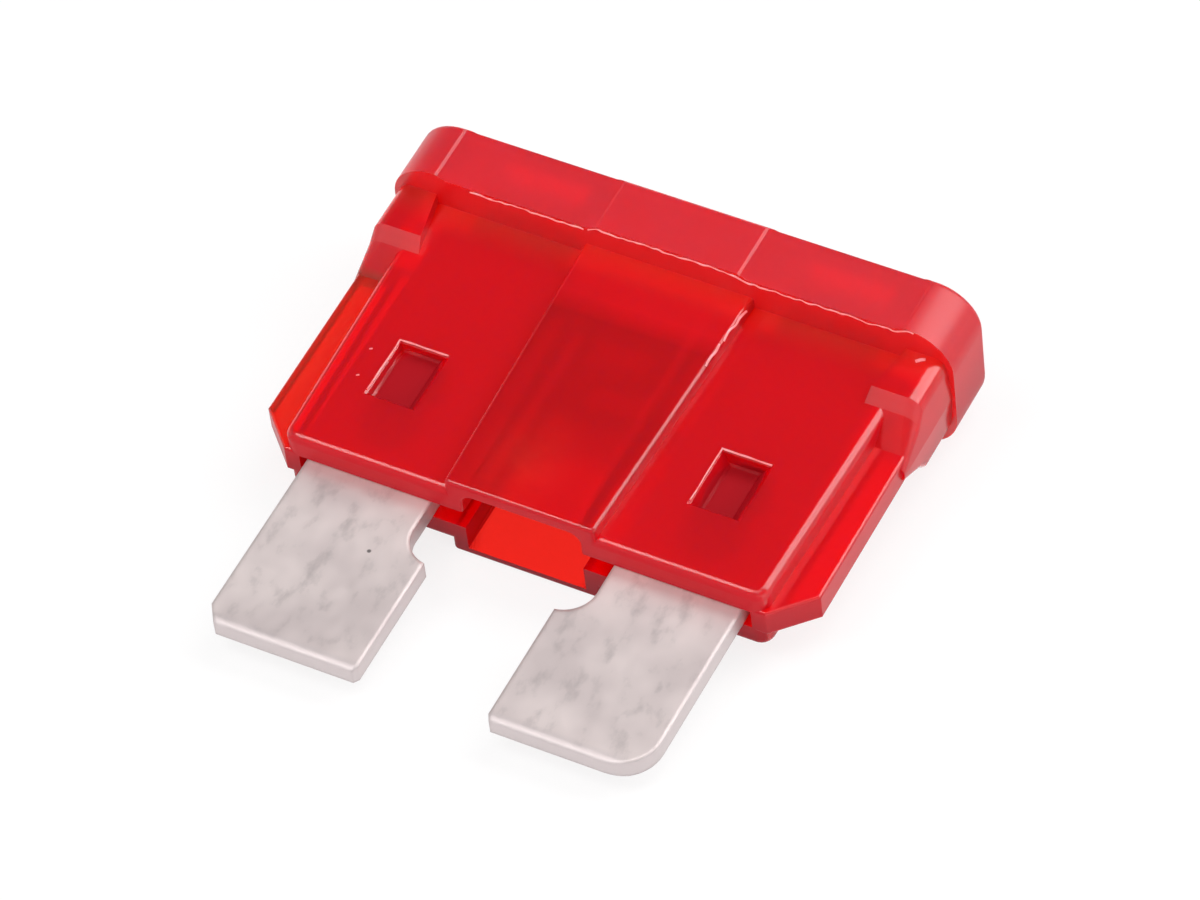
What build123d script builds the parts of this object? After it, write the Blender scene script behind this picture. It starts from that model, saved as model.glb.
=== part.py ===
from build123d import *
import os

# A regular blade fuse lying on its back, in millimetres.
# X runs across the fuse, Y from the blade tips to the cap, Z from the back to the front.
# The origin is at the middle of the footprint, on the surface that the cap's back lies on.
# Heights named "above the open end" are measured along Y from the housing's open edge.

# Overall sizes
cap_width = 19.2
cap_thickness = 5.1
body_height = 12.2
blade_reach = 6.6

# Cap: a rounded bar with a shallow recess for a fingertip on each side of its middle, front and back
cap_height = 2.15
cap_corner = 1.5
cap_edge = 0.2
recess_start = 2.4
recess_end_margin = 1.55
recess_depth = 0.17
recess_slope = 0.38

# Stamped element
blade_thickness = 0.65
blade_width = 5.17
neck_width = 4.27
step_below_end = 2.15
step_rise = 1.17
step_hollow = 0.3
tip_radius_right = 1.3
tip_cut_left = (0.37, 0.58)
tip_cut_inner = (0.1, 0.2)
tip_bevel_length = 0.2
tip_bevel_depth = 0.05
tab_width = 2.4
tab_below_top = 0.4
element_below_cap = 0.5
link_width = 0.7
link_thickness = 0.3
link_pitch = 1.7
link_below_ceiling = 1.2
link_bend = 0.6
link_swing = 1.1

# Fits between the element and the housing
face_clearance = 0.04
edge_clearance = 0.28
end_clearance = 0.1
stake_clearance = 0.05

# Housing walls, all following the element and its clearances
side_wall = 0.5
panel_wall = 0.85
chamber_wall = 1.1
web_wall = 0.55
web_rise = 0.43
chamber_front_wall = 0.48
chamber_back_wall = 0.3
chamber_below_cap = 0.6
panel_draft = 0.3
web_draft = 0.35
panel_corner = 0.45
panel_edge = 0.28
web_corner = 0.16
web_edge = 0.14
chamber_corner = 0.4
chamber_edge = 0.1

# Flange along the parting line, and the shoulders that carry the cap's ends
cap_overhang = 0.22
flange_thickness = 1.0
flange_chamfer = 1.23
flange_edge = 0.1
shoulder_length = 1.72
shoulder_foot = 0.38
shoulder_ramp = 1.56
shoulder_top_width = 1.45
shoulder_slope = 0.2
shoulder_round = 0.5
shoulder_toe = 0.25
shoulder_toe_round = 0.2
shoulder_draft = 0.13
shoulder_inset = 0.1

# Stakes: plastic pressed through a hole in each blade, which leaves a pit on both faces.
# A pit's two slopes are those of its wall on the left and its wall on the right, seen from the front.
stake_above_end = 3.55
stake_outward_left = 0.465
stake_outward_right = 0.065
stake_size = (1.1, 1.7)
pit_size = (1.6, 2.2)
pit_depth_left = 0.42
pit_depth_right = 0.6
pit_slopes_left = (0.02, 0.25)
pit_slopes_right = (0.18, 0.35)
pit_rim = 0.08
pit_floor_round = 0.07

# Probe windows in the top of the cap
window_margin = 0.3
window_depth = 1.4

# Places worked out from the sizes above
tip_y = -(body_height + blade_reach) / 2
open_y = tip_y + blade_reach
top_y = open_y + body_height
cap_y = top_y - cap_height
mid_z = cap_thickness / 2

flange_half = cap_width / 2 - cap_overhang
panel_half = flange_half - flange_chamfer
slot_half = panel_half - side_wall
blade_outer = slot_half - edge_clearance
blade_inner = blade_outer - blade_width
neck_inner = blade_outer - neck_width
chamber_half = neck_inner - chamber_wall
web_half = chamber_half + web_wall

slot_thickness = blade_thickness + 2 * face_clearance
panel_thickness = slot_thickness + 2 * panel_wall
web_thickness = panel_thickness + 2 * web_rise
element_top = cap_y - element_below_cap
slot_top = element_top + end_clearance
chamber_top = cap_y - chamber_below_cap
tab_x = (neck_inner + blade_outer) / 2
stake_y = open_y + stake_above_end
stakes = ((-tab_x - stake_outward_left, stake_y), (tab_x + stake_outward_right, stake_y))
pits = (
    (stakes[0], pit_depth_left, pit_slopes_left),
    (stakes[1], pit_depth_right, pit_slopes_right),
)

# Three planes to draw on: along the strip, across the fuse, and lengthwise through its middle
middle = Plane.XY.offset(mid_z)
lengthwise = Plane(origin=(0, 0, mid_z), x_dir=(0, 1, 0), z_dir=(1, 0, 0))


def section(y):
    """The plane across the fuse at a given Y, facing the blades, with Z as its second direction."""
    return Plane(origin=(0, y, mid_z), x_dir=(1, 0, 0), z_dir=(0, -1, 0))


def panel(half_width, draft, thickness, corner, edge):
    """A panel from the open end to the cap, wider at the cap by the mould's draft.

    Its two corners at the open end and its front and back rims are rounded.
    """
    wide = half_width + draft
    with BuildPart() as block:
        with BuildSketch(middle):
            Polygon(
                (-half_width, open_y),
                (half_width, open_y),
                (wide, cap_y),
                (-wide, cap_y),
                align=None,
            )
        extrude(amount=thickness / 2, both=True)
        fillet(block.edges().filter_by(Axis.Z).group_by(Axis.Y)[0], corner)
        rims = block.faces().filter_by(Axis.Z)
        fillet(rims.edges().group_by(Axis.Y)[:-1], edge)
    return block.part


def blade_outline(side, tip_cut):
    """One blade seen from the front, on the left where side is -1 and on the right where it is 1.

    The outer corner of the tip is cut off where tip_cut gives the cut's two sizes, or else rounded.
    """
    step_y = open_y - step_below_end
    outer = side * blade_outer
    with BuildSketch() as outline:
        with BuildLine():
            if tip_cut is None:
                corner_x = side * (blade_outer - tip_radius_right)
                corner_y = tip_y + tip_radius_right
                RadiusArc((corner_x, tip_y), (outer, corner_y), -side * tip_radius_right)
            else:
                corner_x = side * (blade_outer - tip_cut[0])
                corner_y = tip_y + tip_cut[1]
                Line((corner_x, tip_y), (outer, corner_y))
            Polyline(
                (outer, corner_y),
                (outer, element_top),
                (side * neck_inner, element_top),
                (side * neck_inner, step_y + step_rise),
            )
            SagittaArc(
                (side * neck_inner, step_y + step_rise),
                (side * blade_inner, step_y),
                side * step_hollow,
            )
            Polyline(
                (side * blade_inner, step_y),
                (side * blade_inner, tip_y + tip_cut_inner[1]),
                (side * (blade_inner + tip_cut_inner[0]), tip_y),
                (corner_x, tip_y),
            )
        make_face()
    return outline.sketch


# The stamped element: two blades, their test tabs and the thin link between them
left_blade = blade_outline(-1, tip_cut_left)
right_blade = blade_outline(1, None)
with BuildPart() as fuse_element:
    with BuildSketch(middle):
        add(left_blade)
        add(right_blade)
        with Locations((-tab_x, element_top), (tab_x, element_top)):
            Rectangle(tab_width, top_y - tab_below_top - element_top, align=(Align.CENTER, Align.MIN))
        with Locations(*stakes):
            Rectangle(
                stake_size[0] + 2 * stake_clearance,
                stake_size[1] + 2 * stake_clearance,
                mode=Mode.SUBTRACT,
            )
    extrude(amount=blade_thickness / 2, both=True)
    # Bevels pressed along both faces of each tip, so that the blades find their sockets
    blade_face = blade_thickness / 2
    with BuildSketch(lengthwise):
        Polygon(
            (tip_y, blade_face - tip_bevel_depth),
            (tip_y + tip_bevel_length, blade_face),
            (tip_y, blade_face),
            align=None,
        )
        mirror(about=Plane.XZ)
    extrude(amount=blade_outer, both=True, mode=Mode.SUBTRACT)
    # The link is an S cut from the same strip and coined thin
    link_y = chamber_top - link_below_ceiling
    with BuildSketch(middle):
        with BuildLine():
            FilletPolyline(
                (-neck_inner - link_width, link_y),
                (link_swing, link_y),
                (link_swing, link_y - link_pitch),
                (-link_swing, link_y - link_pitch),
                (-link_swing, link_y - 2 * link_pitch),
                (neck_inner + link_width, link_y - 2 * link_pitch),
                radius=link_bend,
            )
        trace(line_width=link_width)
    extrude(amount=link_thickness / 2, both=True)
fuse_element.part.label = "fuse_element"


# The flange, cut back at the two lower corners
with BuildPart() as flange:
    with BuildSketch(middle):
        with BuildLine():
            Polyline(
                (0, open_y),
                (panel_half, open_y),
                (panel_half + flange_chamfer, open_y + flange_chamfer),
                (flange_half, cap_y),
                (0, cap_y),
            )
            mirror(about=Plane.YZ)
        make_face()
    extrude(amount=flange_thickness / 2, both=True)
    flange_rims = flange.faces().filter_by(Axis.Z).edges()
    fillet(flange_rims.group_by(Axis.Y)[:-1], flange_edge)


# One shoulder, on the right: it rises from a toe inside the flange to the underside of the cap
shoulder_half = cap_width / 2 - shoulder_inset
shoulder_inner = shoulder_half - shoulder_top_width
shoulder_step = cap_y - shoulder_length - shoulder_foot
toe_y = shoulder_step - shoulder_ramp * (1 - shoulder_toe / (panel_thickness / 2))
with BuildPart() as shoulder:
    for y, height, radius in (
        (cap_y + cap_edge, web_thickness / 2, shoulder_round),
        (cap_y - shoulder_length, web_thickness / 2, shoulder_round),
        (shoulder_step, panel_thickness / 2, shoulder_round),
        (toe_y, shoulder_toe, shoulder_toe_round),
    ):
        inner = shoulder_inner - shoulder_slope * (cap_y - y)
        lean = shoulder_draft * height / (web_thickness / 2)
        with BuildSketch(section(y)) as profile:
            Polygon(
                (inner, 0),
                (shoulder_half, 0),
                (shoulder_half - lean, height),
                (inner, height),
                align=None,
            )
            outer_corner = profile.vertices().group_by(Axis.Y)[-1].sort_by(Axis.X)[-1]
            fillet(outer_corner, radius)
    loft(ruled=True)
    mirror(about=middle)


# The moulded housing
with BuildPart() as housing:
    # The side panels in one piece, and the thicker middle panel over the link
    add(panel(panel_half, panel_draft, panel_thickness, panel_corner, panel_edge))
    add(panel(web_half, web_draft, web_thickness, web_corner, web_edge))
    add(flange.part)
    add(shoulder.part)
    mirror(shoulder.part, about=Plane.YZ)

    # Cap, with its rims rounded before the finger recesses run through them
    with BuildSketch(section(top_y)):
        RectangleRounded(cap_width, cap_thickness, cap_corner)
    extrude(amount=cap_height)
    cap_rims = housing.faces().filter_by(Axis.Y).group_by(Axis.Y)[-1].edges()
    fillet(cap_rims, cap_edge)
    recess_end = cap_width / 2 - recess_end_margin
    cap_face = cap_thickness / 2
    with BuildSketch(section(top_y)):
        Polygon(
            (recess_start, cap_face),
            (recess_start + recess_slope, cap_face - recess_depth),
            (recess_end - recess_slope, cap_face - recess_depth),
            (recess_end, cap_face),
            align=None,
        )
        mirror(about=Plane.YZ)
        mirror(about=Plane.XZ)
    extrude(amount=cap_height, mode=Mode.SUBTRACT)

    # Slot for the element, open at the blades' end, and the chamber round the link
    with BuildSketch(section(slot_top)):
        Rectangle(2 * slot_half, slot_thickness)
    extrude(amount=slot_top - open_y, mode=Mode.SUBTRACT)
    chamber_front = web_thickness / 2 - chamber_front_wall
    chamber_back = web_thickness / 2 - chamber_back_wall
    with BuildSketch(section(chamber_top)) as chamber:
        Polygon(
            (-chamber_half, -chamber_back),
            (chamber_half, -chamber_back),
            (chamber_half, chamber_front),
            (-chamber_half, chamber_front),
            align=None,
        )
        fillet(chamber.vertices().group_by(Axis.Y)[-1], chamber_corner)
    extrude(amount=chamber_top - open_y, mode=Mode.SUBTRACT)
    mouth = housing.faces().filter_by(Axis.Y).group_by(Axis.Y)[0].edges()
    upper_mouth = mouth.filter_by_position(Axis.Z, mid_z + slot_thickness, mid_z + chamber_front)
    fillet(upper_mouth.filter_by_position(Axis.X, -chamber_half, chamber_half), chamber_edge)

    # Windows over the test tabs
    with BuildSketch(section(top_y)):
        with Locations((-tab_x, 0), (tab_x, 0)):
            Rectangle(tab_width + 2 * window_margin, window_depth)
    extrude(amount=top_y - slot_top, mode=Mode.SUBTRACT)

    # Stakes across the slot, and the pits that the staking punches leave over them, front and back
    with BuildSketch(middle):
        with Locations(*stakes):
            Rectangle(*stake_size)
    extrude(amount=slot_thickness / 2, both=True)
    for side in (1, -1):
        surface = mid_z + side * panel_thickness / 2
        for (x, y), depth, (left_slope, right_slope) in pits:
            floor_x = x + (left_slope - right_slope) / 2
            floor_width = pit_size[0] - left_slope - right_slope
            low = surface - side * depth
            with BuildSketch(Plane((x, y, surface))):
                Rectangle(pit_size[0] + 2 * pit_rim, pit_size[1] + 2 * pit_rim)
            with BuildSketch(Plane((x, y, surface - side * pit_rim))):
                Rectangle(*pit_size)
            with BuildSketch(Plane((floor_x, y, low + side * pit_floor_round))):
                Rectangle(floor_width, pit_size[1])
            with BuildSketch(Plane((floor_x, y, low))):
                Rectangle(floor_width - 2 * pit_floor_round, pit_size[1] - 2 * pit_floor_round)
            loft(ruled=True, mode=Mode.SUBTRACT)
housing.part.label = "housing"

os.makedirs("parts", exist_ok=True)
export_step(housing.part, "parts/housing.step")
export_step(fuse_element.part, "parts/fuse_element.step")
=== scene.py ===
# %% [markdown]
# A blade fuse lying on a white table: a clear red moulded housing with two bare metal blades.
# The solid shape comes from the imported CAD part, and this notebook gives it its finish, its light
# and its camera.
# Each cell does one thing, says why, and prints what it made, so that it can be read and changed
# on its own.

# %% Load the part
import math
import random

import bpy
from mathutils import Matrix, Vector


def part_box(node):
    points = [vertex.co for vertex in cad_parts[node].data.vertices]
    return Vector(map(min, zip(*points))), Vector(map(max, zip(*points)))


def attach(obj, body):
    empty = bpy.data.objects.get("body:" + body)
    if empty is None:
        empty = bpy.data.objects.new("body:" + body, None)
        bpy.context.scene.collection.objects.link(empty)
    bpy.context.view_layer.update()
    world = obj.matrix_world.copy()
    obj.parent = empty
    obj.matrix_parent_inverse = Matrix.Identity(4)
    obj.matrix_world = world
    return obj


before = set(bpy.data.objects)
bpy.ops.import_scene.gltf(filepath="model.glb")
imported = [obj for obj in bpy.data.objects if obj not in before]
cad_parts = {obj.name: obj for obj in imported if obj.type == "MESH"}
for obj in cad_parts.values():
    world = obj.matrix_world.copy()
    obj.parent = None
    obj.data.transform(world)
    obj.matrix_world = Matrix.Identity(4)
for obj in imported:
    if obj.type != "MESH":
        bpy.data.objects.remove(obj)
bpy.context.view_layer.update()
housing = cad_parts["housing"]
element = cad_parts["fuse_element"]

# %% [markdown]
# Blender works in metres, while a fuse is thought of in millimetres, so one named value turns one
# into the other.
# Colours are picked as a screen shows them, in hexadecimal, but light adds up in linear values.
# One function turns the first into the second, and every colour below goes through it.

# %% Units and colours
mm = 0.001


def linear(hex_colour):
    """The linear RGBA of an sRGB colour such as D8CCCA."""
    channels = [int(hex_colour[i:i + 2], 16) / 255 for i in (0, 2, 4)]
    curved = [c / 12.92 if c <= 0.04045 else ((c + 0.055) / 1.055) ** 2.4 for c in channels]
    return curved + [1.0]


low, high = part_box("housing")
print("housing in mm:", [round(v / mm, 2) for v in (*low, *high)])

# %% [markdown]
# A finish is a tree of small nodes, and most of the work is adding one, setting it and linking it.
# One function does all three for any kind of node, so that a finish reads as a list of what it is
# made of.

# %% Add a node


def add(tree, kind, values=None, links=None, **settings):
    """Adds a shader node, gives its inputs values or other nodes' outputs, and returns it."""
    node = tree.nodes.new("ShaderNode" + kind)
    for name, value in settings.items():
        setattr(node, name, value)
    for name, value in (values or {}).items():
        node.inputs[name].default_value = value
    for name, (source, output) in (links or {}).items():
        tree.links.new(source.outputs[output], node.inputs[name])
    return node


def new_material(name):
    """An empty node material and its tree."""
    material = bpy.data.materials.new(name)
    material.use_nodes = True
    material.node_tree.nodes.clear()
    return material, material.node_tree


print("node helper ready")

# %% [markdown]
# Some places of the housing look different from the rest: a pit is dark, a thin wall glows.
# They could be painted by hand on the mesh, but a mask worked out from the place itself needs no
# painting and keeps its size if the part changes.
# The helper below makes the simplest one, a soft blob with a middle and three radii.

# %% A soft blob to mask with


def blob(tree, source, centre, radii):
    """A mask that is 1 in an ellipsoid's middle and falls to 0 at its skin. Sizes are in mm."""
    scale = [1 / (r * mm) for r in radii]
    shift = [-c / r for c, r in zip(centre, radii)]
    placed = add(tree, "Mapping", {"Location": shift, "Scale": scale}, {"Vector": source})
    return add(tree, "TexGradient", links={"Vector": (placed, "Vector")}, gradient_type="SPHERICAL")


print("blob helper ready")

# %% [markdown]
# The housing is injection-moulded polycarbonate with a red dye, clear enough for light to pass
# through.
# What the eye gets from it: a deep even red where the metal lies behind, a glow where a wall is
# thin, and a polished skin that mirrors the white table along its edges.
# It could be plain glass, but the real one is a little cloudy. So two shaders are mixed: a clear
# one, which the dye inside colours more the longer the light's way through it is, and a cloudy
# one, which scatters light near the skin.
# The cap's mould is sparked and not polished, so the cap is duller, and that makes it look pinker.
# The masks need the place on the part, the way the surface faces, and the place folded at the
# middle, where left and right, and front and back, are the same.

# %% Places on the housing
polycarbonate_ior = 1.585
cloudiness = 0.45
dye_density = 12.0 / mm
cap_height = 2.15 * mm
panel_length = 10.05 * mm
cap_start = high.y - cap_height
open_end = cap_start - panel_length
middle_z = high.z / 2

plastic, tree = new_material("injection_moulded_red_polycarbonate")
place = add(tree, "TexCoord")
axes = add(tree, "SeparateXYZ", links={0: (place, "Object")})
facing = add(tree, "SeparateXYZ", links={0: (place, "Normal")})
from_middle = add(
    tree,
    "VectorMath",
    {1: (0.0, 0.0, middle_z)},
    {0: (place, "Object")},
    operation="SUBTRACT",
)
folded = add(tree, "VectorMath", links={0: (from_middle, "Vector")}, operation="ABSOLUTE")
folded_axes = add(tree, "SeparateXYZ", links={0: (folded, "Vector")})
print("cap starts at", round(cap_start / mm, 2), "mm, open end at", round(open_end / mm, 2), "mm")

# %% [markdown]
# Some places get painted shade: a darker colour with little mirror in it, standing in for the
# shade that falls there. They are the faces at the open end that look towards the blades, the
# floors of the pits, which a hot tool pressed into the blade's hole and which lie deep in their
# recesses, and a little the upright side faces.
# The masks are joined by taking the larger one, so that they don't add up where they meet.
# The two pits aren't quite mirror images, so one blob between their folded places serves both.

# %% Painted shade of dull and deep places
matt_until = 1.5 * mm
matt_gone_by = 1.8 * mm
pit_between = (5.5, 0.75, 0.65)
pit_reach = (1.3, 1.5, 0.56)

# painted shade on the open end's faces towards the blades
end_faces_painted_shade = add(
    tree,
    "MapRange",
    {"From Min": -0.55, "From Max": -0.75, "To Max": 0.85},
    {"Value": (facing, "Y")},
)
low_part = add(
    tree,
    "MapRange",
    {"From Min": open_end + matt_gone_by, "From Max": open_end + matt_until},
    {"Value": (axes, "Y")},
)
ends = add(
    tree, "Math", links={0: (end_faces_painted_shade, "Result"), 1: (low_part, "Result")}, operation="MULTIPLY"
)
# painted shade on the pits' floors
pit = blob(tree, (folded, "Vector"), pit_between, pit_reach)
pit_floor_painted_shade = add(tree, "MapRange", {"From Max": 0.2, "To Max": 0.9}, {"Value": (pit, "Fac")})
# painted shade, a little, on faces turned sideways
sideways = add(tree, "Math", links={0: (facing, "X")}, operation="ABSOLUTE")
sides = add(
    tree,
    "MapRange",
    {"From Min": 0.85, "From Max": 0.95, "To Max": 0.4},
    {"Value": (sideways, "Value")},
)
painted_shade_share = add(
    tree, "Math", links={0: (ends, "Value"), 1: (pit_floor_painted_shade, "Result")}, operation="MAXIMUM"
)
painted_shade_share = add(
    tree, "Math", links={0: (painted_shade_share, "Value"), 1: (sides, "Result")}, operation="MAXIMUM"
)
print("dull places: open end, pits and sides")

# %% [markdown]
# A dull face has no depth to look into, so its colour has to do the work of the plastic behind it,
# and the shade is painted into it. Near the back little light arrives, and it turns maroon. The
# pits' floors lie between the two.

# %% Colour of the painted shade
from_back = add(
    tree,
    "MapRange",
    {"From Min": 1.3 * mm, "From Max": 3.2 * mm},
    {"Value": (axes, "Z")},
)
# painted shade colours: maroon at the back, red at the front, deep red on the pits' floors
painted_shade_red = add(
    tree,
    "MixRGB",
    {"Color1": linear("86081A"), "Color2": linear("C40E1E")},
    {"Fac": (from_back, "Result")},
)
painted_shade_red = add(
    tree,
    "MixRGB",
    {"Color2": linear("A00A18")},
    {"Fac": (pit_floor_painted_shade, "Result"), "Color1": (painted_shade_red, "Color")},
)
print("dull colours run from maroon at the back to red at the front")

# %% [markdown]
# Some places get a painted glow, a lighter and more orange colour that stands in for the light
# coming through: the band under the cap, where no metal lies behind the wall, the thin flange on
# the left, and a spot low on the middle panel, where the empty chamber behind it gathers light.
# The flange's mask is made of three: far enough left, near the middle of the thickness, and below
# the shoulder, because the cap's end would meet the first two as well.

# %% Painted glow
glow_spot = (-0.6, -1.3, 4.2)
glow_reach = (1.8, 2.6, 1.8)
uneven_size = 1.2 * mm

# painted glow in the band under the cap
under_cap_painted_glow = add(
    tree,
    "MapRange",
    {"From Min": 6.1 * mm, "From Max": 7.1 * mm, "To Max": 0.4},
    {"Value": (axes, "Y")},
)
left_side = add(
    tree,
    "MapRange",
    {"From Min": -7.9 * mm, "From Max": -8.3 * mm},
    {"Value": (axes, "X")},
)
flange_level = add(
    tree,
    "MapRange",
    {"From Min": 0.7 * mm, "From Max": 0.52 * mm},
    {"Value": (folded_axes, "Z")},
)
below_shoulder = add(
    tree,
    "MapRange",
    {"From Min": 5.4 * mm, "From Max": 4.6 * mm},
    {"Value": (axes, "Y")},
)
# painted glow on the thin left flange
flange_painted_glow = add(
    tree,
    "Math",
    links={0: (left_side, "Result"), 1: (flange_level, "Result")},
    operation="MULTIPLY",
)
flange_painted_glow = add(
    tree,
    "Math",
    links={0: (flange_painted_glow, "Value"), 1: (below_shoulder, "Result")},
    operation="MULTIPLY",
)
uneven = add(
    tree, "TexNoise", {"Scale": 1 / uneven_size, "Detail": 3.0}, {"Vector": (place, "Object")}
)
# painted glow in a spot low on the middle panel, made uneven by noise
painted_glow_spot = blob(tree, (place, "Object"), glow_spot, glow_reach)
painted_glow_spot = add(tree, "Math", links={0: (painted_glow_spot, "Fac"), 1: (uneven, "Fac")}, operation="MULTIPLY")
painted_glow = add(
    tree,
    "Math",
    links={0: (under_cap_painted_glow, "Result"), 1: (flange_painted_glow, "Value")},
    operation="MAXIMUM",
)
painted_glow = add(tree, "Math", links={0: (painted_glow, "Value"), 1: (painted_glow_spot, "Value")}, operation="MAXIMUM")
print("glowing places: under the cap, left flange, middle panel")

# %% [markdown]
# Where the glow is painted, the scattering colour turns from deep red to orange red.
# The middle panel's front wall gets a deeper red, painted shade, because it closes a hollow and
# hides the bright wall behind it. The cap turns to pink, a painted sheen like the one its sparked
# skin shows.

# %% Colour of the scattered light, with painted glow, shade and sheen
# painted glow: orange red where the glow masks are set
scatter_with_painted_light = add(
    tree,
    "MixRGB",
    {"Color1": linear("FF0C22"), "Color2": linear("FF5036")},
    {"Fac": (painted_glow, "Value")},
)
on_cap = add(
    tree,
    "MapRange",
    {"From Min": cap_start - 0.05 * mm, "From Max": cap_start + 0.05 * mm},
    {"Value": (axes, "Y")},
)
front_wall = add(
    tree,
    "MapRange",
    {"From Min": 3.95 * mm, "From Max": 4.1 * mm},
    {"Value": (axes, "Z")},
)
front_wall = add(
    tree,
    "Math",
    links={0: (front_wall, "Result"), 1: (below_shoulder, "Result")},
    operation="MULTIPLY",
)
# painted shade: a deeper red on the middle panel's front wall, except in the glow spot
front_wall_painted_shade = add(tree, "MapRange", {"To Max": 0.8}, {"Value": (front_wall, "Value")})
shown = add(tree, "Math", {0: 1.0}, {1: (painted_glow_spot, "Value")}, operation="SUBTRACT")
front_wall_painted_shade = add(tree, "Math", links={0: (front_wall_painted_shade, "Result"), 1: (shown, "Value")}, operation="MULTIPLY")
scatter_with_painted_light = add(
    tree,
    "MixRGB",
    {"Color2": linear("D80820")},
    {"Fac": (front_wall_painted_shade, "Value"), "Color1": (scatter_with_painted_light, "Color")},
)
# painted sheen: the cap's scattering colour is pink
scatter_with_painted_light = add(
    tree,
    "MixRGB",
    {"Color2": linear("FF2A40")},
    {"Fac": (on_cap, "Result"), "Color1": (scatter_with_painted_light, "Color")},
)
print("scattered light: red, orange red where it glows, pink on the cap")

# %% [markdown]
# How cloudy the plastic looks depends on how thick it is. The chamber's back wall is so thin that
# it hardly scatters at all, so there the clear shader takes over, and by half on the thin flange.
# The middle panel's front wall is a little clearer too, and shows the dark hollow behind it.

# %% Share of the cloudy shader
back_wall = (0.0, -1.2, 1.1)
back_wall_reach = (2.6, 3.2, 0.8)
least_cloudy = 0.08

thin_wall = blob(tree, (place, "Object"), back_wall, back_wall_reach)
thin_wall = add(tree, "MapRange", {"From Max": 0.2}, {"Value": (thin_wall, "Fac")})
thin_flange = add(tree, "Math", {1: 0.55}, {0: (flange_painted_glow, "Value")}, operation="MULTIPLY")
clearer = add(
    tree,
    "Math",
    links={0: (thin_wall, "Result"), 1: (thin_flange, "Value")},
    operation="MAXIMUM",
)
scattered = add(
    tree,
    "MapRange",
    {"To Min": cloudiness, "To Max": least_cloudy},
    {"Value": (clearer, "Value")},
)
less = add(tree, "Math", {1: 0.12}, {0: (front_wall, "Value")}, operation="MULTIPLY")
scattered = add(
    tree,
    "Math",
    links={0: (scattered, "Result"), 1: (less, "Value")},
    operation="SUBTRACT",
)
print("cloudy share:", cloudiness, "down to", least_cloudy, "on the chamber's back wall")

# %% [markdown]
# The two finger recesses of the cap end in narrow slopes. On the real cap only the sharp top of a
# slope shines, as a thin line, because the rest of it is polished down by handling and looks like
# the flat beside it.
# So below its top a slope is shaded with the direction of the flat. Only faces that look forward
# or back take part.

# %% Worn slopes of the cap
recess_middle = 5.225 * mm
sharp_from = 2.72 * mm

across = add(tree, "Math", {1: recess_middle}, {0: (folded_axes, "X")}, operation="SUBTRACT")
across = add(tree, "Math", links={0: (across, "Value")}, operation="ABSOLUTE")
below_top = add(
    tree,
    "MapRange",
    {"From Min": sharp_from + 0.03 * mm, "From Max": sharp_from},
    {"Value": (across, "Value")},
)
tilt = add(tree, "Math", links={0: (facing, "Z")}, operation="ABSOLUTE")
forward = add(tree, "MapRange", {"From Min": 0.86, "From Max": 0.88}, {"Value": (tilt, "Value")})
worn_flat = add(
    tree, "Math", links={0: (below_top, "Result"), 1: (forward, "Result")}, operation="MULTIPLY"
)
worn_flat = add(
    tree, "Math", links={0: (worn_flat, "Value"), 1: (on_cap, "Result")}, operation="MULTIPLY"
)
upright = add(
    tree, "VectorMath", {1: (0.0, 0.0, 1.0)}, {0: (place, "Normal")}, operation="MULTIPLY"
)
upright = add(tree, "VectorMath", links={0: (upright, "Vector")}, operation="NORMALIZE")
shaded_as = add(
    tree,
    "MixRGB",
    links={
        "Fac": (worn_flat, "Value"),
        "Color1": (place, "Normal"),
        "Color2": (upright, "Vector"),
    },
)
print("a slope is worn up to", round(sharp_from / mm, 2), "mm from its recess's middle")

# %% [markdown]
# The skin has the mould's finish and a very slight waviness, left by the plastic as it shrank.
# The waves are 3 mm long and less than 15 microns deep: too shallow to change an outline, but they
# bend highlights.
# The dye takes almost no red, but nearly all green and blue within half a millimetre.

# %% Clear red polycarbonate
wave_length = 3.0 * mm
polished = 0.14
sparked = 0.36

flow = add(
    tree, "TexNoise", {"Scale": 1 / wave_length, "Detail": 2.0}, {"Vector": (place, "Object")}
)
relief = add(
    tree,
    "Bump",
    {"Strength": 0.3, "Distance": 0.05 * mm},
    {"Height": (flow, "Fac"), "Normal": (shaded_as, "Color")},
)
finish = add(
    tree,
    "MapRange",
    {"To Min": polished, "To Max": sparked},
    {"Value": (on_cap, "Result")},
)
skin = {"Roughness": (finish, "Result"), "Normal": (relief, "Normal")}
clear = add(
    tree,
    "BsdfPrincipled",
    {"Base Color": linear("FFF2F0"), "IOR": polycarbonate_ior, "Transmission Weight": 1.0},
    skin,
)
cloudy = add(
    tree,
    "BsdfPrincipled",
    {
        "IOR": polycarbonate_ior,
        "Subsurface Weight": 1.0,
        "Subsurface Radius": (1.0, 0.08, 0.05),
        "Subsurface Scale": 0.6 * mm,
    },
    {"Base Color": (scatter_with_painted_light, "Color"), **skin},
)
# this shader carries the painted shade colours
dull = add(
    tree,
    "BsdfPrincipled",
    {"Specular IOR Level": 0.15, "Roughness": 0.5},
    {"Base Color": (painted_shade_red, "Color"), "Normal": (relief, "Normal")},
)
inside = add(
    tree,
    "MixShader",
    links={"Fac": (scattered, "Value"), 1: (clear, "BSDF"), 2: (cloudy, "BSDF")},
)
surface = add(
    tree,
    "MixShader",
    links={"Fac": (painted_shade_share, "Value"), 1: (inside, "Shader"), 2: (dull, "BSDF")},
)
dye = add(
    tree, "VolumeAbsorption", {"Color": (0.9993, 0.1, 0.0, 1.0), "Density": dye_density}
)
add(
    tree, "OutputMaterial", links={"Surface": (surface, "Shader"), "Volume": (dye, "Volume")}
)
housing.data.materials.clear()
housing.data.materials.append(plastic)
print("housing finish:", plastic.name)

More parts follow.
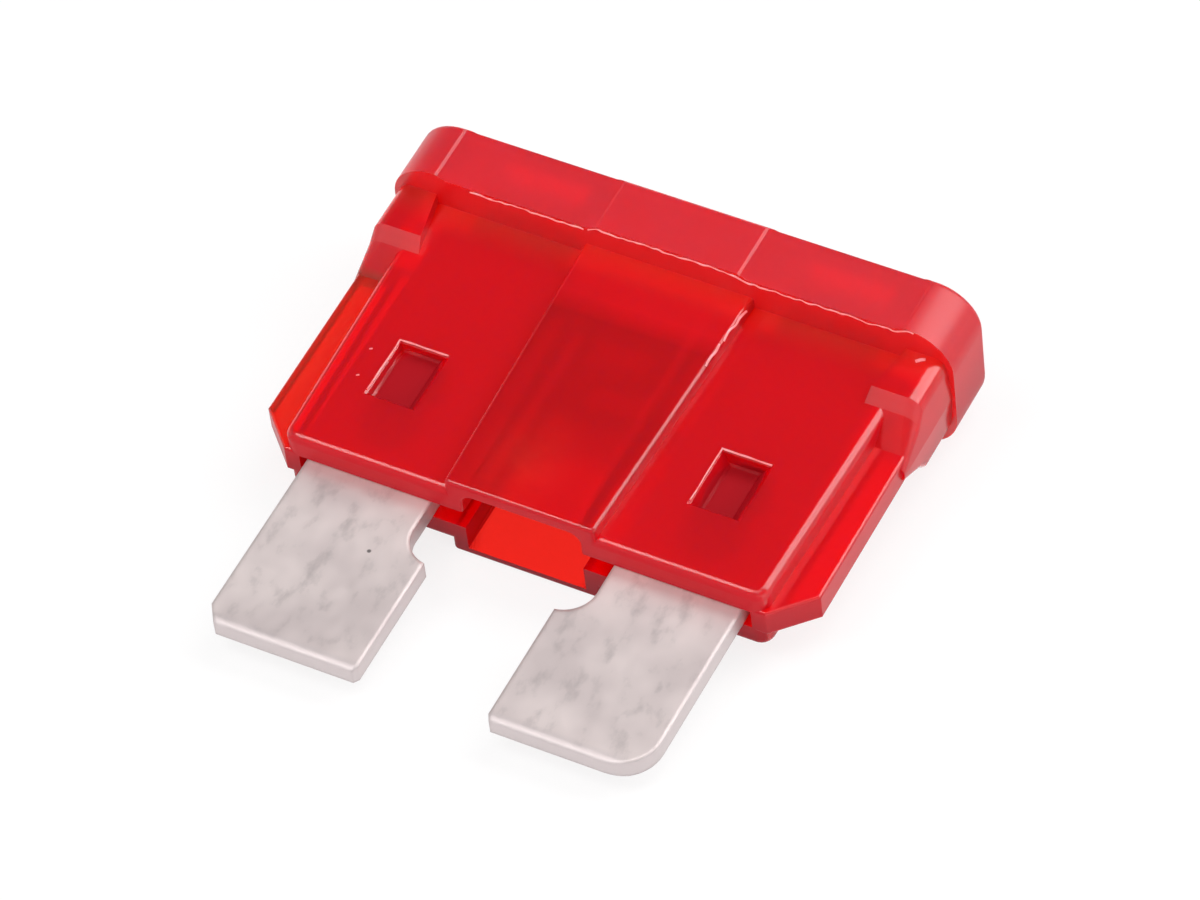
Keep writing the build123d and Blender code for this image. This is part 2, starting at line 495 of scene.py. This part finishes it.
# %% [markdown]
# Where the mould's two halves meet, a little plastic squeezes out and leaves a thin ragged bead,
# called flash. On this fuse it runs along the front lower edge of the cap and shows as a pale wavy
# line. The hot tool that pressed the pits pushed up a like bead at the left and upper rim of each.
# A bead could be a bump on the surface, but it stands out from the edge, so it is a real one: a
# curve with a round section, whose points wander a few hundredths of a millimetre and whose
# thickness changes from point to point.

# %% Helpers for the beads
bead_radius = 0.036 * mm
recess_start = 2.4
recess_end = 8.05
recess_slope = 0.38
recess_depth = 0.17


def cap_face_z(x):
    """Height of the cap's front face at x, which dips in the two finger recesses. All in mm."""
    inwards = (abs(x) - recess_start) / recess_slope
    outwards = (recess_end - abs(x)) / recess_slope
    return high.z / mm - recess_depth * max(0.0, min(inwards, outwards, 1.0))


def bead(curve, points, thinnest, thickest):
    """One run of bead through points in mm. Its thickness changes between two shares of full."""
    run = curve.splines.new("NURBS")
    run.points.add(len(points) - 1)
    for in_mm, point in zip(points, run.points):
        point.co = (*(v * mm for v in in_mm), 1.0)
        point.radius = bead_radius * random.uniform(thinnest, thickest)
    run.order_u = 3
    run.use_endpoint_u = True


def bead_piece(name):
    """An empty curve piece with a round section, which rides on the housing.

    The bevel depth is 1, so that a point's radius is in metres. Blender measures a curve's box
    with those radii.
    """
    curve = bpy.data.curves.new(name, "CURVE")
    curve.dimensions = "3D"
    curve.bevel_depth = 1.0
    curve.bevel_resolution = 2
    curve.use_fill_caps = True
    piece = bpy.data.objects.new(name, curve)
    bpy.context.scene.collection.objects.link(piece)
    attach(piece, "root")
    return piece


print("bead radius:", round(bead_radius / mm, 3), "mm")

# %% [markdown]
# Besides the flash along the cap there are torn bits on the middle panel's right rim, and the stub
# of a vent by the right shoulder. Each run says how thin and how thick it gets.
# The random numbers start from a fixed seed, so the beads are the same each time.

# %% Flash
random.seed(7)
bead_step = 0.17
flash_runs = [(-6.8, -2.85), (-2.7, 8.35)]
torn_bits = [
    [(2.9, 6.75, 4.12), (2.84, 6.4, 4.2), (2.88, 6.1, 4.15), (2.76, 5.8, 4.2), (2.8, 5.4, 4.14)],
    [(2.75, 5.2, 4.2), (2.79, 4.95, 4.15), (2.71, 4.6, 4.19), (2.73, 4.3, 4.14)],
]
vent_stub = [(8.53, 6.9, 4.19), (8.61, 6.96, 4.22), (8.7, 7.03, 4.22), (8.76, 7.07, 4.19)]

flash = bead_piece("cap_flash")
for start, end in flash_runs:
    steps = int((end - start) / bead_step)
    xs = [start + (end - start) * i / (steps - 1) for i in range(steps)]
    route = [
        (
            x,
            cap_start / mm + random.uniform(-0.06, 0.01),
            cap_face_z(x) - 0.05 + random.uniform(-0.03, 0.01),
        )
        for x in xs
    ]
    bead(flash.data, route, 0.35, 1.0)
for torn_bit in torn_bits:
    bead(flash.data, torn_bit, 0.8, 1.5)
bead(flash.data, vent_stub, 1.2, 1.7)
print("flash runs:", len(flash.data.splines))

# %% [markdown]
# The lips follow the left and upper rim of each pit, on both faces of the fuse.
# Two small drops of plastic lie beside the left pit.

# %% Pressed-up lips
panel_face = 1.215
pit_corner = (0.84, 1.14)
pit_places = [(-5.7, 0.75), (5.3, 0.75)]
drops = [(-7.2, 1.22), (-7.08, 0.14)]

lips = bead_piece("pit_lips")
for pit_x, pit_y in pit_places:
    for face in (-panel_face, panel_face):
        half_x, half_y = pit_corner
        legs = [(-half_x, -half_y + 0.15), (-half_x, half_y), (half_x, half_y)]
        route = []
        for (x0, y0), (x1, y1) in zip(legs, legs[1:]):
            for i in range(7):
                x = pit_x + x0 + (x1 - x0) * i / 6 + random.uniform(-0.015, 0.015)
                y = pit_y + y0 + (y1 - y0) * i / 6 + random.uniform(-0.015, 0.015)
                route.append((x, y, middle_z / mm + face))
        bead(lips.data, route, 0.5, 1.0)
for x, y in drops:
    route = [(x - 0.04, y - 0.03, 3.76), (x, y, 3.775), (x + 0.04, y + 0.02, 3.76)]
    bead(lips.data, route, 0.6, 0.8)
print("lip runs and drops:", len(lips.data.splines))

# %% [markdown]
# Flash is the same red polycarbonate as the housing, but so thin that hardly any dye is left in
# the light's way, so it looks pale pink, with a ragged change from bit to bit. The palest pink is
# partly a painted highlight, which makes the bead read as a bright line.

# %% Moulding flash of red polycarbonate
ragged_size = 0.3 * mm

thin, tree = new_material("moulding_flash_of_red_polycarbonate")
place = add(tree, "TexCoord")
ragged = add(
    tree, "TexNoise", {"Scale": 1 / ragged_size, "Detail": 2.0}, {"Vector": (place, "Object")}
)
# the pale end of this blend is partly a painted highlight
flash_tone_and_painted_highlight = add(
    tree,
    "MixRGB",
    {"Color1": linear("F04A54"), "Color2": linear("FFC0C0")},
    {"Fac": (ragged, "Fac")},
)
body = add(
    tree,
    "BsdfPrincipled",
    {
        "Roughness": 0.2,
        "IOR": polycarbonate_ior,
        "Subsurface Weight": 0.5,
        "Subsurface Scale": 0.05 * mm,
    },
    {"Base Color": (flash_tone_and_painted_highlight, "Color")},
)
add(tree, "OutputMaterial", links={"Surface": (body, "BSDF")})
for piece in (flash, lips):
    piece.data.materials.append(thin)
    print(piece.name, "points:", sum(len(run.points) for run in piece.data.splines))

# %% [markdown]
# The element is stamped from a rolled zinc alloy strip with a thin coat of tin.
# Tin is soft and pale and has a slightly warm cast. Handling leaves soft stains, and small smudges
# that are drawn out along the blades. One dark speck sits on the left blade.

# %% Stains on the tin
tin_pale = linear("EADDDB")
tin_stain = linear("D8CBCA")
smudge_grey = linear("9C9495")
speck_grey = linear("4A4446")
stain_size = 2.2 * mm
smudge_size = 0.6 * mm
speck_place = (-3.95, -5.19, 2.875)
speck_reach = (0.08, 0.08, 0.2)

metal, tree = new_material("tin_plated_rolled_zinc")
place = add(tree, "TexCoord")
facing = add(tree, "SeparateXYZ", links={0: (place, "Normal")})
element_axes = add(tree, "SeparateXYZ", links={0: (place, "Object")})
along = add(tree, "Mapping", {"Scale": (1.0, 0.6, 1.0)}, {"Vector": (place, "Object")})
cloud = add(
    tree,
    "TexNoise",
    {"Scale": 1 / stain_size, "Detail": 2.0, "Roughness": 0.5},
    {"Vector": (place, "Object")},
)
cloud_range = add(
    tree, "MapRange", {"From Min": 0.35, "From Max": 0.65}, {"Value": (cloud, "Fac")}
)
tin = add(
    tree,
    "MixRGB",
    {"Color1": tin_stain, "Color2": tin_pale},
    {"Fac": (cloud_range, "Result")},
)
smudge = add(
    tree,
    "TexNoise",
    {"Scale": 1 / smudge_size, "Detail": 4.0, "Roughness": 0.6},
    {"Vector": (along, "Vector")},
)
smudge_share = add(
    tree,
    "MapRange",
    {"From Min": 0.54, "From Max": 0.78, "To Max": 0.4},
    {"Value": (smudge, "Fac")},
)
stained = add(
    tree,
    "MixRGB",
    {"Color2": smudge_grey},
    {"Fac": (smudge_share, "Result"), "Color1": (tin, "Color")},
)
speck = blob(tree, (place, "Object"), speck_place, speck_reach)
speck_share = add(
    tree, "MapRange", {"From Max": 0.4, "To Max": 0.8}, {"Value": (speck, "Fac")}
)
specked = add(
    tree,
    "MixRGB",
    {"Color2": speck_grey},
    {"Fac": (speck_share, "Result"), "Color1": (stained, "Color")},
)
print("stains:", round(stain_size / mm, 1), "mm, smudges:", round(smudge_size / mm, 1), "mm")

# %% [markdown]
# The punch shears the sides, where the zinc is bare and slightly greyer. The grey on faces turned
# sideways is partly that bare zinc and partly painted shade, and the grey band at the tips is
# painted shade.
# It is a metal, so it keeps the default IOR and gets its look from a pale colour and a rather high
# roughness. Clean metal would be fully metallic, but handled tin carries a thin dull film, and 0.6
# was found to look like it.
# The punched corners are worn round. The bevel node turns the shading there, which needs no extra
# faces.

# %% Tin-plated zinc
# this grey is bare zinc and painted shade at once
bare_zinc_and_painted_shade = linear("D0C5C5")
corner_wear = 0.2 * mm
filmed = 0.6

upright = add(tree, "Math", links={0: (facing, "Z")}, operation="ABSOLUTE")
# greyer where a face turns sideways: bare zinc and painted shade
sheared_and_painted_shade = add(
    tree, "MapRange", {"From Min": 0.75, "From Max": 0.4}, {"Value": (upright, "Value")}
)
# painted shade: a greyer band at the tips
tip_painted_shade = add(
    tree,
    "MapRange",
    {"From Min": -9.0 * mm, "From Max": -9.35 * mm},
    {"Value": (element_axes, "Y")},
)
bare_and_painted_shade = add(
    tree, "Math", links={0: (sheared_and_painted_shade, "Result"), 1: (tip_painted_shade, "Result")}, operation="MAXIMUM"
)
colour = add(
    tree,
    "MixRGB",
    {"Color2": bare_zinc_and_painted_shade},
    {"Fac": (bare_and_painted_shade, "Value"), "Color1": (specked, "Color")},
)
gloss = add(
    tree,
    "MapRange",
    {"From Min": 0.3, "From Max": 0.7, "To Min": 0.5, "To Max": 0.4},
    {"Value": (smudge, "Fac")},
)
worn = add(tree, "Bevel", {"Radius": corner_wear}, samples=6)
body = add(
    tree,
    "BsdfPrincipled",
    {"Metallic": filmed},
    {
        "Base Color": (colour, "Color"),
        "Roughness": (gloss, "Result"),
        "Normal": (worn, "Normal"),
    },
)
add(tree, "OutputMaterial", links={"Surface": (body, "BSDF")})
element.data.materials.clear()
element.data.materials.append(metal)
print("element finish:", metal.name)

# %% [markdown]
# A loose fuse doesn't lie level: it leans on the back edge of its cap and on the lower edge of its
# middle panel.
# The CAD frame keeps the part level, so here the table leans instead, by just as much, and touches
# the same two edges. The slope is the steepest one that keeps the plane under every point.

# %% Table
half_side = 600 * mm

housing_points = [v.co for v in housing.data.vertices]
cap_edge_y = min(p.y for p in housing_points if p.z < 0.001 * mm)
slope = min(p.z / (cap_edge_y - p.y) for p in housing_points if p.y < cap_edge_y - 1 * mm)
corners = [(-1, -1), (1, -1), (1, 1), (-1, 1)]
outline = [
    (x * half_side, y * half_side, (cap_edge_y - y * half_side) * slope) for x, y in corners
]
table_mesh = bpy.data.meshes.new("table")
table_mesh.from_pydata(outline, [], [(0, 1, 2, 3)])
table = bpy.data.objects.new("table", table_mesh)
bpy.context.scene.collection.objects.link(table)
lean = round(math.degrees(math.atan(slope)), 2)
print("table leans", lean, "degrees and touches at y =", round(cap_edge_y / mm, 2), "mm")

# %% [markdown]
# The table is a large plain square of matt white paper.
# What the camera and mirror-like reflections see of it is mostly an even white of its own, which
# keeps it white and thins the shadow, as a lit white sweep does. Light that comes through the red
# plastic sees only that white. All other light meets plain matt paper.

# %% Matt white paper
own_white = 0.8

paper, tree = new_material("matt_white_paper")
ray = add(tree, "LightPath")
seen = add(
    tree,
    "Math",
    links={0: (ray, "Is Camera Ray"), 1: (ray, "Is Glossy Ray")},
    operation="MAXIMUM",
)
share = add(tree, "Math", {1: own_white}, {0: (seen, "Value")}, operation="MULTIPLY")
share = add(
    tree,
    "Math",
    links={0: (share, "Value"), 1: (ray, "Is Transmission Ray")},
    operation="MAXIMUM",
)
matt = add(tree, "BsdfDiffuse", {"Color": linear("F4F2F2")})
shine = add(tree, "Emission", {"Color": (1.0, 1.0, 1.0, 1.0), "Strength": 1.02})
mix = add(
    tree,
    "MixShader",
    links={"Fac": (share, "Value"), 1: (matt, "BSDF"), 2: (shine, "Emission")},
)
add(tree, "OutputMaterial", links={"Surface": (mix, "Shader")})
table.data.materials.append(paper)
print("table finish:", paper.name)

# %% [markdown]
# The room is white near the horizon and in front of the fuse, and dim overhead and behind it on
# the left, as on a small photo table whose white sides stand beside the camera.
# A plain grey world would do, but then the flat red faces would mirror it and turn pink.
# The brightness follows the direction of a ray, so it stays the same from any camera.

# %% World
brightest_way = (0.4, -0.9, 0.0)

world = bpy.data.worlds.new("photo_table")
bpy.context.scene.world = world
world.use_nodes = True
tree = world.node_tree
tree.nodes.clear()
direction = add(tree, "TexCoord")
split = add(tree, "SeparateXYZ", links={0: (direction, "Generated")})
height = add(
    tree,
    "MapRange",
    {"From Min": 0.35, "From Max": 0.75, "To Min": 1.0, "To Max": 0.25},
    {"Value": (split, "Z")},
)
front = add(
    tree,
    "VectorMath",
    {1: brightest_way},
    {0: (direction, "Generated")},
    operation="DOT_PRODUCT",
)
side = add(
    tree,
    "MapRange",
    {"From Min": -0.8, "From Max": 0.6, "To Min": 0.3, "To Max": 1.4},
    {"Value": (front, "Value")},
)
room = add(
    tree, "Math", links={0: (height, "Result"), 1: (side, "Result")}, operation="MULTIPLY"
)
horizon = add(tree, "MapRange", {"From Min": 0.15, "From Max": 0.05}, {"Value": (split, "Z")})
strength = add(
    tree, "Math", links={0: (room, "Value"), 1: (horizon, "Result")}, operation="MAXIMUM"
)
sky = add(
    tree, "Background", {"Color": (1.0, 1.0, 1.0, 1.0)}, {"Strength": (strength, "Value")}
)
add(tree, "OutputWorld", links={"Surface": (sky, "Background")})
print("world:", world.name)

# %% [markdown]
# Soft boxes hang over the fuse. A glossy edge turns through many directions, and somewhere on it
# mirrors a box, so where a box hangs settles which edges shine: the left one lights the lower
# rims, the right one the right rims. A third, straight above, only fills: from the camera almost
# nothing mirrors it.
# A lamp's size and distance settle how soft it is, and its power follows from them.

# %% Soft boxes
centre = Vector((0.0, 0.0, 2.5 * mm))


def soft_box(name, towards, distance, width, height, radiance):
    """A rectangular lamp that looks at the fuse, its width across the fuse's lengthwise plane."""
    data = bpy.data.lights.new(name, "AREA")
    data.shape = "RECTANGLE"
    data.size = width
    data.size_y = height
    data.energy = radiance * math.pi * width * height
    lamp = bpy.data.objects.new(name, data)
    outward = Vector(towards).normalized()
    across = Vector((0.0, 1.0, 0.0)).cross(outward).normalized()
    turned = Matrix((across, outward.cross(across), outward)).transposed().to_4x4()
    lamp.matrix_world = Matrix.Translation(centre + outward * distance) @ turned
    bpy.context.scene.collection.objects.link(lamp)
    print(name, "power", round(data.energy, 3), "W")


soft_box("left_soft_box", (-0.35, -0.25, 0.9), 300 * mm, 120 * mm, 160 * mm, 4.5)
soft_box("right_soft_box", (0.44, 0.535, 0.72), 300 * mm, 330 * mm, 140 * mm, 4.0)
soft_box("top_soft_box", (0.1, -0.1, 0.99), 350 * mm, 200 * mm, 200 * mm, 1.6)

# %% [markdown]
# The camera stands where the photograph was taken from: above the blades' end and a little to the
# right, with a long lens from 22 cm away. Its three axes are written as directions, which says
# more than three angles do.

# %% Camera
lens = 218.19
camera_place = Vector((77.171, -116.418, 172.059)) * mm
right = Vector((0.88749, 0.45252, -0.08711))
up = Vector((-0.30192, 0.71379, 0.63194))
back = Vector((0.34815, -0.53454, 0.77011))

camera_data = bpy.data.cameras.new("camera")
camera_data.sensor_width = 36.0
camera_data.lens = lens
camera_data.clip_start = 5 * mm
camera = bpy.data.objects.new("camera", camera_data)
turned = Matrix((right, up, back)).transposed().to_4x4()
camera.matrix_world = Matrix.Translation(camera_place) @ turned
bpy.context.scene.collection.objects.link(camera)
bpy.context.scene.camera = camera
print("camera at", [round(v / mm, 1) for v in camera_place], "mm, lens", lens)

# %% Finish
bpy.context.scene.view_settings.view_transform = "Standard"
